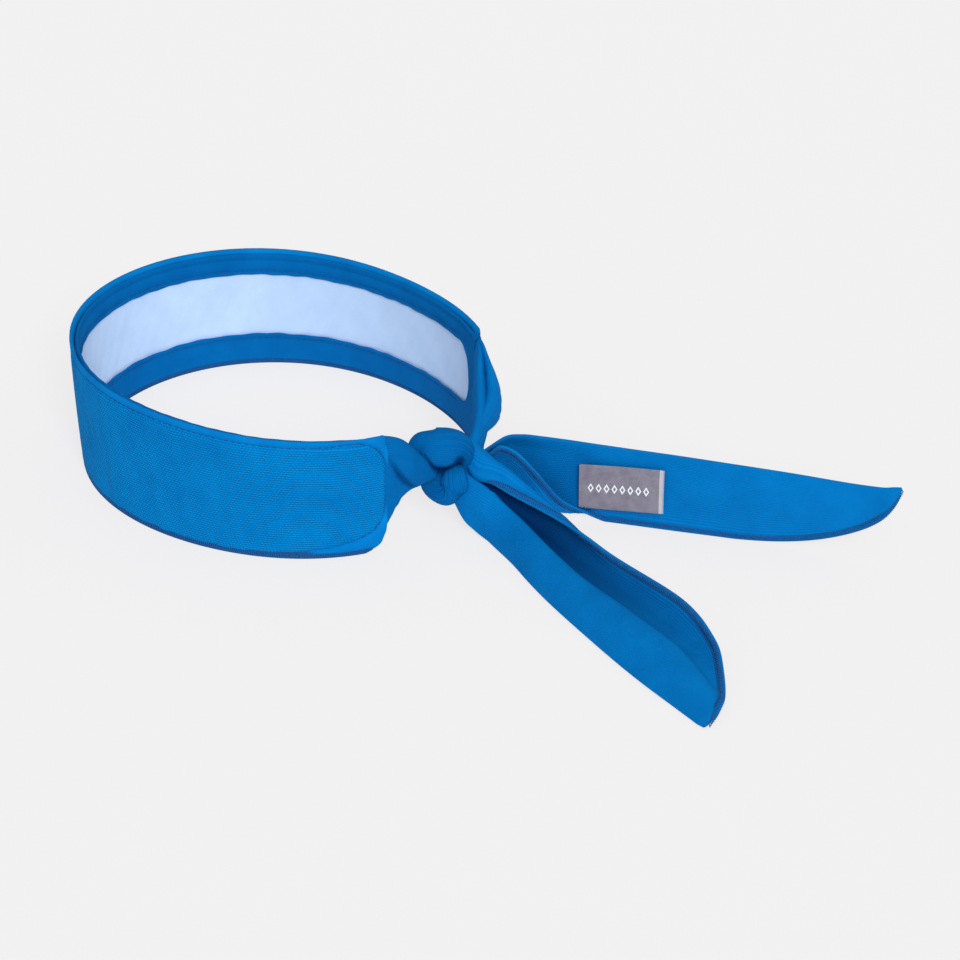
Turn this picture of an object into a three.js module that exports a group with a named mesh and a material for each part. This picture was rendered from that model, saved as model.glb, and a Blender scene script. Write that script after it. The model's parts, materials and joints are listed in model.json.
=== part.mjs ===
// Tie-on sports headband, knotted as it is worn. Millimetres, +Z up.
//
// The origin is the centre of the head opening, in the plane of the lower edge.
// +X points from there at the knot, which is at the back of the wearer's head.
// "Near" parts are on the -Y side of the knot and "far" parts on the +Y side.
import * as THREE from 'three';

// Driving dimensions
const BAND_HEIGHT = 58; // the wall, from the overlocked hem to the folded rim
const HEAD_RADIUS = 85.4; // mean radius of the wall at the hem
const RIM_FLARE = 1.1; // how much further out the rim stands than the hem
const OVAL_AT_HEM = 5.6; // how much longer than round the head opening is
const OVAL_AT_RIM = 9.1;
const EGG = 0.9; // how much blunter the knot side is than the brow
const TIE_WIDTH = 37; // of the folded and sewn tie, laid flat
const TAIL_LENGTH = 166; // of the free tie, from the knot to its tip
const KNOT = new THREE.Vector3(93, 1, 30); // the middle of the knot
const GAP = 0.3; // between pieces that are sewn or pressed together

// The layers of the wall, as depths outward from its middle
const PANEL = { outer: 1.8, inner: 0.6 };
const PAD = { outer: PANEL.inner - GAP, inner: -0.9 };
const FACING = { outer: PAD.inner - GAP, inner: -2.0 };
const THREAD = 0.4; // how far stitching stands on the cloth

// Where the sewn panel ends, as angles from the knot round the head
const FAR_END = 42;
const NEAR_END = 338;
const WALL_STEPS = 60;

// The hem and the window that shows the pad
const HEM_HEIGHT = 1.6;
const CLOTH_FOOT = HEM_HEIGHT + GAP;
const WINDOW = { bottom: 15.5, top: 46.5, margin: 4, rounding: 9 };

// The gathered roots of the tie, beside the knot
const NEAR_ROOT = { from: -20.6, to: -10.8 };
const FAR_ROOT = { from: 40.6, to: 12.6 };

// The knot: two lobes round a core of crossed ties
const LOBE = { ring: 11.5, halfWidth: 10, halfDepth: 6 };
const LOBE_SPREAD = 172; // the arc of one lobe, in degrees

// The two tails and their pivots at the knot
const NEAR_TAIL = { pivot: new THREE.Vector3(104.5, 1, 28), heading: -20.3 };
const FAR_TAIL = { pivot: new THREE.Vector3(101, 22, 18), heading: 24.6 };
const TAIL_START = 5;
const TAIL_THICKNESS = 2.4;
const TIP_ROUNDING = 68;
const OVERLOCK = { width: 2, thickness: 1.8 };
const LABEL = { start: 37, length: 36, bottom: 8, height: 21, thickness: 0.7 };

const { degToRad, lerp, smoothstep } = THREE.MathUtils;

// The point of the wall at an angle round the head, a height, and a depth outward.
function onHead(angle, height, depth) {
  const turn = degToRad(angle);
  const rise = height / BAND_HEIGHT;
  const mean = HEAD_RADIUS + RIM_FLARE * rise;
  const oval = lerp(OVAL_AT_HEM, OVAL_AT_RIM, rise);
  const radius = mean + oval * Math.cos(2 * turn) + EGG * Math.cos(3 * turn) + depth;
  return new THREE.Vector3(radius * Math.cos(turn), radius * Math.sin(turn), height);
}

// Moves each vertex of a geometry to where place(x, y, z) says.
function reshape(geometry, place) {
  const points = geometry.getAttribute('position');
  for (let i = 0; i < points.count; i += 1) {
    const moved = place(points.getX(i), points.getY(i), points.getZ(i));
    points.setXYZ(i, moved.x, moved.y, moved.z);
  }
  geometry.computeVertexNormals();
  return geometry;
}

// A piece of cloth: a box whose length, thickness and width each run from 0 to 1.
function cloth(steps, rows, place) {
  const box = new THREE.BoxGeometry(1, 1, 1, steps, 1, rows);
  box.translate(0.5, 0.5, 0.5);
  return reshape(box, place);
}

// A strip of the wall between two angles. Its edges are heights, or functions of the angle.
function wallStrip({ layer, bottom, top, from = FAR_END, to = NEAR_END, steps = WALL_STEPS }) {
  const edge = (value, angle) => (typeof value === 'function' ? value(angle) : value);
  return cloth(steps, 1, (length, thickness, width) => {
    const angle = lerp(from, to, length);
    const height = lerp(edge(bottom, angle), edge(top, angle), width);
    return onHead(angle, height, lerp(layer.outer, layer.inner, thickness));
  });
}

// A round-edged bundle of cloth along a path: at(t) gives its centre, across its two half-sizes
// with the directions that they lie in.
function bundle(steps, sides, at) {
  return reshape(new THREE.CylinderGeometry(1, 1, 1, sides, steps), (x, y, z) => {
    const { centre, sideways, upward } = at(y + 0.5);
    return centre.addScaledVector(sideways, x).addScaledVector(upward, z);
  });
}

// How far the window has opened at an angle, from 0 at its rounded ends to 1.
function windowOpening(angle) {
  const fromEnd = Math.min(angle - FAR_END, NEAR_END - angle) - WINDOW.margin;
  const rounded = 1 - THREE.MathUtils.clamp(fromEnd / WINDOW.rounding, 0, 1);
  return Math.sqrt(1 - rounded * rounded);
}

const windowMiddle = (WINDOW.bottom + WINDOW.top) / 2;
const windowTop = (angle) => lerp(windowMiddle + GAP, WINDOW.top, windowOpening(angle));
const windowBottom = (angle) => lerp(windowMiddle - GAP, WINDOW.bottom, windowOpening(angle));

// The gathered root of the tie: as tall as the wall where it is sewn to the panel's end, and
// a thick pleated bundle where it goes into the knot.
function tieRoot({ from, to }, steps, swell) {
  return bundle(steps, 12, (t) => {
    const gathered = smoothstep(t, 0, 0.9);
    const height = lerp(BAND_HEIGHT / 2, KNOT.z, t);
    const bulge = swell * Math.sin(Math.PI * t);
    const centre = onHead(lerp(from, to, t), height, bulge);
    const outward = new THREE.Vector3(centre.x, centre.y, 0).normalize();
    const facing = Math.sign(to - from);
    return {
      centre,
      sideways: outward.multiplyScalar(facing * lerp(1.9, 5.5, gathered)),
      upward: new THREE.Vector3(0, 0, lerp(BAND_HEIGHT / 2 - 2, 11, gathered)),
    };
  });
}

// One lobe of the knot, bent in an arc round the crossed ties. start is the angle at which it
// begins, from +Y towards +Z.
function knotLobe(start) {
  return bundle(14, 12, (t) => {
    const turn = degToRad(start + LOBE_SPREAD * t);
    const outward = new THREE.Vector3(0, Math.cos(turn), Math.sin(turn));
    return {
      centre: KNOT.clone().addScaledVector(outward, LOBE.ring),
      sideways: outward.multiplyScalar(LOBE.halfDepth),
      upward: new THREE.Vector3(LOBE.halfWidth, 0, 0),
    };
  });
}

// The ties where they cross, inside the two lobes.
function knotCore() {
  const radius = LOBE.ring - LOBE.halfDepth - GAP;
  const core = new THREE.CylinderGeometry(radius, radius, 2 * LOBE.halfWidth, 16, 4);
  core.rotateZ(Math.PI / 2);
  return core.translate(KNOT.x, KNOT.y, KNOT.z);
}

// The overlocked edge of the tie as it was cut, flat. x runs from the knot to the tip, and y
// is the distance from the tie's folded edge.
const tieEdge = new THREE.CurvePath();
const gatheredEnd = new THREE.Vector2(TAIL_START, 10);
const widening = new THREE.Vector2(22, TIE_WIDTH);
const shoulder = new THREE.Vector2(TAIL_LENGTH - TIP_ROUNDING, TIE_WIDTH);
tieEdge.add(new THREE.QuadraticBezierCurve(gatheredEnd, widening, shoulder));
tieEdge.add(
  new THREE.EllipseCurve(shoulder.x, 0, TIP_ROUNDING, TIE_WIDTH, Math.PI / 2, 0, true),
);

// A point of the flat tie, at a fraction of its edge's length and a distance in from the edge.
function inFromEdge(fraction, inset) {
  const along = tieEdge.getTangentAt(fraction);
  const inward = new THREE.Vector2(along.y, -along.x);
  return tieEdge.getPointAt(fraction).addScaledVector(inward, inset);
}

// The tie's two layers of cloth, from the folded edge to the overlocking.
function tail(lay) {
  return cloth(30, 6, (length, thickness, width) => {
    const edge = inFromEdge(length * 0.965, OVERLOCK.width + GAP);
    return lay(edge.x, edge.y * width, lerp(0.5, -0.5, thickness) * TAIL_THICKNESS);
  });
}

// The overlocking thread round the tie's cut edge.
function tailOverlock(lay) {
  return cloth(36, 1, (length, thickness, width) => {
    const point = inFromEdge(length, lerp(OVERLOCK.width, 0, width));
    return lay(point.x, point.y, lerp(0.5, -0.5, thickness) * OVERLOCK.thickness);
  });
}

// A point measured along and to the left of a tail's heading.
function fromPivot({ pivot, heading }, along, left, height) {
  const turn = degToRad(heading);
  return new THREE.Vector3(
    pivot.x + along * Math.cos(turn) - left * Math.sin(turn),
    pivot.y + along * Math.sin(turn) + left * Math.cos(turn),
    height,
  );
}

// The near tail lies on its folded edge: a hump, a hollow, and a raised overlocked edge.
function layNear(along, fromFold, depth) {
  const across = fromFold / TIE_WIDTH;
  const atKnot = 1 - smoothstep(along, TAIL_START, 26);
  const flattened = smoothstep(along, TAIL_LENGTH - TIP_ROUNDING, TAIL_LENGTH);
  const wave = 11 * across + 6.5 * Math.sin(2 * Math.PI * across) * (1 - atKnot);
  const floor = TAIL_THICKNESS / 2 + 0.2;
  const height = floor + 13 * atKnot + wave * lerp(1, 0.2, flattened);
  return fromPivot(NEAR_TAIL, along, fromFold, height + depth);
}

// The far tail stands on its overlocked edge, with its folded edge on top.
function layFar(along, fromFold, depth) {
  return fromPivot(FAR_TAIL, along, depth, TIE_WIDTH - fromFold);
}

// A flat strip on the side of the far tail that faces -Y.
function onFarTail({ start, length, bottom, height, thickness }, depth) {
  return cloth(1, 1, (x, y, z) => {
    const left = -(TAIL_THICKNESS / 2 + GAP + depth + thickness * (1 - y));
    return fromPivot(FAR_TAIL, start + x * length, left, bottom + z * height);
  });
}

const materials = {
  panelKnit: { color: 0x0780c8, roughness: 0.85 },
  facingCloth: { color: 0x0a6cb4, roughness: 0.9 },
  tieCloth: { color: 0x0a7ac4, roughness: 0.85 },
  thread: { color: 0x1a5fa5, roughness: 0.8 },
  sponge: { color: 0xc0d8fb, roughness: 0.95 },
  labelSatin: { color: 0x9a96a0, roughness: 0.5 },
};

const headband = new THREE.Group();

function addPiece(name, geometry, material) {
  const piece = new THREE.Mesh(
    geometry,
    new THREE.MeshStandardMaterial({ ...materials[material], metalness: 0 }),
  );
  piece.name = name;
  headband.add(piece);
}

// The wall
addPiece(
  'outer_panel',
  wallStrip({ layer: PANEL, bottom: CLOTH_FOOT, top: BAND_HEIGHT }),
  'panelKnit',
);
addPiece(
  'cooling_pad',
  wallStrip({
    layer: PAD,
    bottom: WINDOW.bottom - 6,
    top: WINDOW.top + 6,
    from: FAR_END + 2,
    to: NEAR_END - 2,
  }),
  'sponge',
);
addPiece(
  'upper_facing',
  wallStrip({ layer: FACING, bottom: windowTop, top: BAND_HEIGHT }),
  'facingCloth',
);
addPiece(
  'lower_facing',
  wallStrip({ layer: FACING, bottom: CLOTH_FOOT, top: windowBottom }),
  'facingCloth',
);
addPiece(
  'lower_hem',
  wallStrip({ layer: { outer: 2.1, inner: -2.3 }, bottom: 0, top: HEM_HEIGHT }),
  'thread',
);

// A line of stitching that stands on a face of the wall.
function wallStitching(surface, side, height) {
  const near = surface + side * GAP;
  const far = near + side * THREAD;
  const layer = { outer: Math.max(near, far), inner: Math.min(near, far) };
  const ends = { from: FAR_END + 1, to: NEAR_END - 1 };
  return wallStrip({ layer, bottom: height, top: height + 0.6, ...ends });
}
addPiece('rim_stitching', wallStitching(PANEL.outer, 1, BAND_HEIGHT - 4.5), 'thread');
addPiece('upper_window_stitching', wallStitching(FACING.inner, -1, WINDOW.top + 1.5), 'thread');
addPiece('lower_window_stitching', wallStitching(FACING.inner, -1, WINDOW.bottom - 2), 'thread');

// The seams that join the panel's ends to the tie.
function endSeam(from) {
  const layer = { outer: 2.2, inner: -2.2 };
  return wallStrip({ layer, bottom: 3, top: BAND_HEIGHT - 1, from, to: from + 0.8, steps: 1 });
}
addPiece('near_end_seam', endSeam(NEAR_END + 0.2), 'thread');
addPiece('far_end_seam', endSeam(FAR_END - 1), 'thread');

// The tie, from its roots through the knot to its tails
addPiece('near_tie_root', tieRoot(NEAR_ROOT, 8, 0), 'tieCloth');
addPiece('far_tie_root', tieRoot(FAR_ROOT, 16, 3), 'tieCloth');
addPiece('near_tie_lobe', knotLobe(4), 'tieCloth');
addPiece('far_tie_lobe', knotLobe(184), 'tieCloth');
addPiece('tie_crossing', knotCore(), 'tieCloth');
addPiece('near_tail', tail(layNear), 'tieCloth');
addPiece('near_tail_overlock', tailOverlock(layNear), 'thread');
addPiece('far_tail', tail(layFar), 'tieCloth');
addPiece('far_tail_overlock', tailOverlock(layFar), 'thread');

// The woven label, caught in the far tail's lower edge, and the thread that holds it
addPiece('label', onFarTail(LABEL, 0), 'labelSatin');
addPiece(
  'label_stitching',
  onFarTail({ ...LABEL, height: 0.8, thickness: THREAD }, LABEL.thickness + GAP),
  'thread',
);

export default headband;
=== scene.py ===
import json
import math
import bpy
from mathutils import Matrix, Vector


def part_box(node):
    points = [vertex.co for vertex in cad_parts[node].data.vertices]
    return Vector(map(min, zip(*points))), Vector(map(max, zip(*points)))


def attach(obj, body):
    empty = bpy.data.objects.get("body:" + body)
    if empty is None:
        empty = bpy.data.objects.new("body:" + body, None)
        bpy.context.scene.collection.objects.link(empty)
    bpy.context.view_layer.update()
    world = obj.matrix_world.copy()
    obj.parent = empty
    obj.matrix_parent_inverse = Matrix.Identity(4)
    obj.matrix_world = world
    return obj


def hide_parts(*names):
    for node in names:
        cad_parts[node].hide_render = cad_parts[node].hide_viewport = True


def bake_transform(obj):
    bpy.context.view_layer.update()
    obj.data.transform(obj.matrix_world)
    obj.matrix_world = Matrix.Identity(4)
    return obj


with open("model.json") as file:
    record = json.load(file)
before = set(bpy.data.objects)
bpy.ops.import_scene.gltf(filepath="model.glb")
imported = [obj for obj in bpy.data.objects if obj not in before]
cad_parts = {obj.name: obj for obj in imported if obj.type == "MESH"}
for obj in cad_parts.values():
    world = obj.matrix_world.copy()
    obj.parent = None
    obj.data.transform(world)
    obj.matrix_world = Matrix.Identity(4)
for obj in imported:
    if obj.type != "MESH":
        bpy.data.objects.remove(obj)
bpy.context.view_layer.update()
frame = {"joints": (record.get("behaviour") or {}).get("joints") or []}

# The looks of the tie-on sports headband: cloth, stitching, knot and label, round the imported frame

from types import SimpleNamespace

import bpy
import numpy as np
from mathutils import Vector

MM = 0.001

# The wall of the band, the same shape as its CAD solids. Millimetres throughout.
BAND_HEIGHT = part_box("outer_panel")[1][2] / MM
HEAD_RADIUS = 85.4
RIM_FLARE = 1.1
OVAL_AT_HEM, OVAL_AT_RIM = 5.6, 9.1
EGG = 0.9
FAR_END, NEAR_END = 42.0, 338.0
WINDOW_BOTTOM, WINDOW_TOP = 15.5, 46.5
WINDOW_MIDDLE = (WINDOW_BOTTOM + WINDOW_TOP) / 2
PANEL_HALF, PAD_HALF, FACING_HALF = 0.5, 0.6, 0.42
MM_PER_DEGREE = 1.6
TIE_WIDTH = 38.0
KNOT = np.array((93.0, 1.0, 30.0))

# The camera, which also gives the axes in which the knot is shaped
CAMERA_AZIMUTH, CAMERA_ELEVATION = 38.5, 31.2
CAMERA_DISTANCE = 1.2655
CAMERA_TARGET = Vector((0.068, 0.0541, -0.0132))
CAMERA_LENS, SENSOR = 106.6, 36.0


# ---------------------------------------------------------------- meshes

def unit(vectors):
    return vectors / np.maximum(np.linalg.norm(vectors, axis=-1, keepdims=True), 1e-9)


def smooth(edge0, edge1, x):
    """A soft step from 0 at edge0 to 1 at edge1."""
    t = np.clip((np.asarray(x, float) - edge0) / (edge1 - edge0), 0, 1)
    return t * t * (3 - 2 * t)


def lerp(a, b, t):
    return a + (b - a) * t


def running_length(points):
    """The length along a row of points, from 0 at the first."""
    steps = np.linalg.norm(np.diff(points, axis=0), axis=-1)
    return np.concatenate(([0.0], np.cumsum(steps)))


def spline(keys, values, x):
    """A smooth curve through values at keys, without overshoot, read at x."""
    keys, values = np.asarray(keys, float), np.asarray(values, float)
    slopes = np.gradient(values, keys, axis=0)
    secant = np.diff(values, axis=0) / np.diff(keys).reshape(-1, *[1] * (values.ndim - 1))
    flat = np.zeros(slopes.shape, bool)
    flat[1:-1] = secant[:-1] * secant[1:] <= 0
    slopes[flat] = 0
    x = np.clip(x, keys[0], keys[-1])
    i = np.clip(np.searchsorted(keys, x) - 1, 0, len(keys) - 2)
    h = keys[i + 1] - keys[i]
    t = (x - keys[i]) / h
    shape = (-1, *[1] * (values.ndim - 1)) if np.ndim(x) else ()
    t, h = np.reshape(t, shape), np.reshape(h, shape)
    return ((1 + 2 * t) * (1 - t) ** 2 * values[i] + t * (1 - t) ** 2 * h * slopes[i]
            + t * t * (3 - 2 * t) * values[i + 1] + t * t * (t - 1) * h * slopes[i + 1])


def waviness(x, scales, seed):
    """Gentle irregular waves along x, in the range of about -1 to 1."""
    rng = np.random.default_rng(seed)
    total = np.zeros_like(np.asarray(x, float))
    for scale in scales:
        total = total + np.sin(2 * np.pi * x / scale + rng.uniform(0, 2 * np.pi))
    return total / len(scales)


def place_object(name, data):
    """A new object in the scene."""
    thing = bpy.data.objects.new(name, data)
    bpy.context.collection.objects.link(thing)
    return thing


def add_piece(name, points, faces):
    """A smooth mesh from points in millimetres, as an object of the scene."""
    mesh = bpy.data.meshes.new(name)
    mesh.from_pydata((points * MM).tolist(), [], faces)
    mesh.polygons.foreach_set("use_smooth", [True] * len(mesh.polygons))
    mesh.update()
    return place_object(name, mesh)


def loft(name, rings):
    """A closed body through rings of points, an array of (station, point, xyz)."""
    stations, count = rings.shape[:2]
    row, column = np.meshgrid(np.arange(stations - 1), np.arange(count), indexing="ij")
    following = (column + 1) % count
    quads = np.stack([row * count + column, (row + 1) * count + column,
                      (row + 1) * count + following, row * count + following], -1).reshape(-1, 4)
    wide = count + 1
    uv_quads = np.stack([row * wide + column, (row + 1) * wide + column,
                         (row + 1) * wide + column + 1, row * wide + column + 1], -1).reshape(-1, 4)
    points = rings.reshape(-1, 3)
    volume = np.einsum("ij,ij->i", points[quads[:, 0]],
                       np.cross(points[quads[:, 1]], points[quads[:, 2]])
                       + np.cross(points[quads[:, 2]], points[quads[:, 3]])).sum()
    along = running_length(rings.mean(axis=1))
    around = running_length(np.concatenate((rings, rings[:, :1]), axis=1).mean(axis=0))
    uvs = np.stack(np.meshgrid(along, around, indexing="ij"), -1).reshape(-1, 2)
    caps = [list(range(count)), list(range((stations - 1) * count, stations * count))[::-1]]
    if volume < 0:
        quads, uv_quads = quads[:, ::-1], uv_quads[:, ::-1]
        caps = [cap[::-1] for cap in caps]
    return finish_loft(name, rings, quads, uvs, uv_quads, caps)


def finish_loft(name, rings, quads, uvs, uv_quads, caps):
    """Closes both ends of a loft with a fan of triangles about their middles."""
    stations, count = rings.shape[:2]
    faces, uv_index = quads.tolist(), uv_quads.tolist()
    for end, cap in enumerate(caps):
        middle = stations * count + end
        uv_middle = end * (stations - 1) * (count + 1)
        for a, b in zip(cap, cap[1:] + cap[:1]):
            faces.append([b, a, middle])
            uv_index.append([uv_middle] * 3)
    middles = np.stack([rings[0].mean(axis=0), rings[-1].mean(axis=0)])
    piece = add_piece(name, np.concatenate((rings.reshape(-1, 3), middles)), faces)
    corners = np.array([i for face in uv_index for i in face])
    layer = piece.data.uv_layers.new(name="Cloth")
    layer.data.foreach_set("uv", uvs[corners].astype(np.float32).reshape(-1))
    return piece


def grid_normals(grid):
    return unit(np.cross(np.gradient(grid, axis=0), np.gradient(grid, axis=1)))


EDGE_STEPS = 3


def sheet_rings(grid, half):
    """Rings round a sheet of cloth from the grid of its middle surface and its half thickness."""
    half = np.broadcast_to(half, grid.shape[:2])[..., None]
    normal = grid_normals(grid)
    across = unit(np.gradient(grid, axis=1))
    front, back = grid + normal * half, grid - normal * half
    turns = np.radians(np.linspace(40, 140, EDGE_STEPS))
    far_edge = [grid[:, -1] + half[:, -1] * (math.cos(a) * normal[:, -1] + math.sin(a) * across[:, -1])
                for a in turns]
    near_edge = [grid[:, 0] - half[:, 0] * (math.cos(a) * normal[:, 0] + math.sin(a) * across[:, 0])
                 for a in turns]
    return np.concatenate((front, np.stack(far_edge, 1), back[:, ::-1], np.stack(near_edge, 1)), axis=1)


def mark(piece, rings, face, name, behind=False):
    """Stores a value for each point of one face of a sheet, and 0 elsewhere, for its material."""
    values = np.zeros(rings.shape[:2])
    width = face.shape[1]
    if behind:
        values[:, width + EDGE_STEPS:2 * width + EDGE_STEPS] = face[:, ::-1]
    else:
        values[:, :width] = face
    layer = piece.data.attributes.new(name, "FLOAT", "POINT")
    layer.data.foreach_set("value", np.concatenate((values.reshape(-1), (0, 0))).astype(np.float32))


def rounded_ends(stations, half, rows=4):
    """Half thickness at each station, rounded off at both ends of the sheet."""
    profile = np.full(stations, half, float)
    for k in range(rows):
        share = math.sqrt(1 - (1 - (k + 0.25) / rows) ** 2)
        profile[k] *= share
        profile[-1 - k] *= share
    return profile[:, None]


def tube_rings(path, radius, sides=6):
    """Rings of a thread along a path."""
    ahead = unit(np.gradient(path, axis=0))
    helper = np.where(np.abs(ahead[:, 2:3]) < 0.9, np.array([[0, 0, 1.0]]), np.array([[1.0, 0, 0]]))
    side = unit(np.cross(ahead, helper))
    up = np.cross(side, ahead)
    turn = np.arange(sides) * 2 * np.pi / sides
    return (path[:, None] + radius * (np.cos(turn)[None, :, None] * side[:, None]
                                      + np.sin(turn)[None, :, None] * up[:, None]))


def threads(name, paths, radius, sides=5):
    """One mesh of many short threads, each along its own path of the same number of points."""
    points, faces = [], []
    start = 0
    for path in paths:
        rings = tube_rings(path, radius, sides)
        count = len(path)
        points.append(rings.reshape(-1, 3))
        for i in range(count - 1):
            for j in range(sides):
                k = (j + 1) % sides
                faces.append([start + i * sides + j, start + i * sides + k,
                              start + (i + 1) * sides + k, start + (i + 1) * sides + j])
        faces.append([start + j for j in range(sides)][::-1])
        faces.append([start + (count - 1) * sides + j for j in range(sides)])
        start += count * sides
    return add_piece(name, np.concatenate(points), faces)


# ---------------------------------------------------------------- materials

def nodes_of(name):
    """A new material with its node tree and shader."""
    material = bpy.data.materials.new(name)
    material.use_nodes = True
    tree = material.node_tree
    return material, tree, tree.nodes["Principled BSDF"]


def set_inputs(node, **values):
    """Sets inputs of a node by name, with _ for each space."""
    for name, value in values.items():
        node.inputs[name.replace("_", " ")].default_value = value


def cloth_split(tree, scale_u, scale_v):
    """Both outputs of the piece's own UV map, in millimetres, scaled so that a repeat is one unit."""
    source = tree.nodes.new("ShaderNodeUVMap")
    source.uv_map = "Cloth"
    mapping = tree.nodes.new("ShaderNodeMapping")
    mapping.inputs["Scale"].default_value = (scale_u, scale_v, 1)
    tree.links.new(source.outputs["UV"], mapping.inputs["Vector"])
    split = tree.nodes.new("ShaderNodeSeparateXYZ")
    tree.links.new(mapping.outputs["Vector"], split.inputs[0])
    return split.outputs["X"], split.outputs["Y"]


def math_node(tree, operation, a, b=None):
    """A calculation with numbers or the outputs of other nodes."""
    node = tree.nodes.new("ShaderNodeMath")
    node.operation = operation
    for socket, value in zip(node.inputs, (a, b)):
        if value is None:
            continue
        if isinstance(value, (int, float)):
            socket.default_value = value
        else:
            tree.links.new(value, socket)
    return node.outputs[0]


def wave(tree, place):
    """A sine that repeats with every unit of place."""
    return math_node(tree, "SINE", math_node(tree, "MULTIPLY", place, 2 * math.pi))


def noise_node(tree, scale, detail=3.0, roughness=0.6):
    """Noise over the piece in space, with features of about 1/scale metres."""
    place = tree.nodes.new("ShaderNodeTexCoord")
    noise = tree.nodes.new("ShaderNodeTexNoise")
    set_inputs(noise, Scale=scale, Detail=detail, Roughness=roughness)
    tree.links.new(place.outputs["Object"], noise.inputs["Vector"])
    return noise.outputs["Fac"]


def mottled(tree, factor, dark, light, low=0.3, high=0.7):
    """A colour from dark to light as factor goes from low to high."""
    ramp = tree.nodes.new("ShaderNodeValToRGB")
    ramp.color_ramp.elements[0].position = low
    ramp.color_ramp.elements[0].color = (*dark, 1)
    ramp.color_ramp.elements[1].position = high
    ramp.color_ramp.elements[1].color = (*light, 1)
    tree.links.new(factor, ramp.inputs["Fac"])
    return ramp.outputs["Color"]


def add_bump(tree, shader, heights, distance):
    """Bumps from several (height, strength) pairs, one on top of the other."""
    normal = None
    for height, strength in heights:
        bump = tree.nodes.new("ShaderNodeBump")
        set_inputs(bump, Strength=strength, Distance=distance)
        tree.links.new(height, bump.inputs["Height"])
        if normal is not None:
            tree.links.new(normal, bump.inputs["Normal"])
        normal = bump.outputs["Normal"]
    tree.links.new(normal, shader.inputs["Normal"])


def knit_height(tree, across_mm, along_mm, wobble):
    """Courses of knitted loops: rows across the cloth's width, with loops set brickwise along them."""
    along, across = cloth_split(tree, 1 / along_mm, 1 / across_mm)
    drift = math_node(tree, "MULTIPLY", noise_node(tree, 260.0, 2.0), wobble)
    course = math_node(tree, "ADD", across, drift)
    rows = wave(tree, course)
    half = math_node(tree, "MULTIPLY", math_node(tree, "FLOOR", course), 0.5)
    loops = wave(tree, math_node(tree, "ADD", along, half))
    return math_node(tree, "ADD", rows, math_node(tree, "MULTIPLY", loops, 0.55))


# How much shade is painted onto the margin of the knit outside its stitched outline
MARGIN_PAINTED_SHADE = 0.12
# How far the shade painted into folds and pits takes a cloth's colour towards near black
PAINTED_SHADE_STRENGTH = 0.94


def with_painted_shade(tree, colour, dark):
    """A cloth's colour, going to near black where shade is painted in."""
    painted_shade = tree.nodes.new("ShaderNodeAttribute")
    painted_shade.attribute_name = "PaintedShade"
    deep = tree.nodes.new("ShaderNodeMix")
    deep.data_type = "RGBA"
    tree.links.new(math_node(tree, "MULTIPLY", painted_shade.outputs["Fac"], PAINTED_SHADE_STRENGTH), deep.inputs["Factor"])
    tree.links.new(colour, deep.inputs["A"])
    # The near-black colour of the painted shade
    deep.inputs["B"].default_value = (0, dark[1] * 0.16, dark[2] * 0.3, 1)
    return deep.outputs["Result"]


def knit_material(name, dark, light, across_mm, along_mm, depth, contrast, margin=None):
    """Knitted sports cloth: courses, fuzz and a slightly uneven dye, with shade painted in where marked and
    on its margin outside the stitched outline.
    """
    material, tree, shader = nodes_of(name)
    knit = knit_height(tree, across_mm, along_mm, 0.5)
    if margin:
        inside = tree.nodes.new("ShaderNodeAttribute")
        inside.attribute_name = margin
        knit = math_node(tree, "MULTIPLY", knit, inside.outputs["Fac"])
        outside = math_node(tree, "SUBTRACT", 1.0, inside.outputs["Fac"])
        # Painted shade on the margin outside the stitched outline
        painted_margin_shade = math_node(tree, "MULTIPLY", outside, MARGIN_PAINTED_SHADE)
    fuzz = noise_node(tree, 2600.0, 2.0)
    blotches = noise_node(tree, 55.0, 4.0)
    shade = math_node(tree, "ADD", math_node(tree, "MULTIPLY", knit, contrast),
                      math_node(tree, "ADD", math_node(tree, "MULTIPLY", blotches, 0.5),
                                math_node(tree, "MULTIPLY", fuzz, 0.3)))
    if margin:
        shade = math_node(tree, "SUBTRACT", shade, painted_margin_shade)
    # The cloth's colour, with shade painted in where marked
    colour = with_painted_shade(tree, mottled(tree, shade, dark, light, 0.05, 0.75), dark)
    tree.links.new(colour, shader.inputs["Base Color"])
    set_inputs(shader, Roughness=0.9, Specular_IOR_Level=0.04, Sheen_Weight=0.05, Sheen_Roughness=0.4,
               Sheen_Tint=(0.0, 0.45, 1.0, 1))
    add_bump(tree, shader, [(knit, depth), (fuzz, 0.12)], 0.0004)
    return material


def sponge_material(name):
    """The pad: a soft white non-woven with a faint blue cast, small pores and a felted grain."""
    material, tree, shader = nodes_of(name)
    pores = noise_node(tree, 1500.0, 3.0)
    clouds = noise_node(tree, 70.0, 4.0)
    mix = math_node(tree, "ADD", math_node(tree, "MULTIPLY", pores, 0.25), clouds)
    colour = mottled(tree, mix, (0.41, 0.56, 0.80), (0.49, 0.645, 0.88), 0.3, 0.9)
    tree.links.new(colour, shader.inputs["Base Color"])
    set_inputs(shader, Roughness=0.95, Specular_IOR_Level=0.15)
    add_bump(tree, shader, [(pores, 0.25), (clouds, 0.12)], 0.0004)
    return material


def thread_material(name, dark, light):
    """Spun polyester thread: fine twist and uneven colour."""
    material, tree, shader = nodes_of(name)
    fibre = noise_node(tree, 3200.0, 3.0)
    colour = mottled(tree, fibre, dark, light)
    tree.links.new(colour, shader.inputs["Base Color"])
    set_inputs(shader, Roughness=0.7, Specular_IOR_Level=0.25)
    add_bump(tree, shader, [(fibre, 0.3)], 0.0002)
    return material


# On the label's cloth, in millimetres: the middle of the row of lozenges, half its length, and
# where the pale selvedge begins
ROW_MIDDLE, ROW_HALF, SELVEDGE = 17.0, 13.6, 34.4


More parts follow.
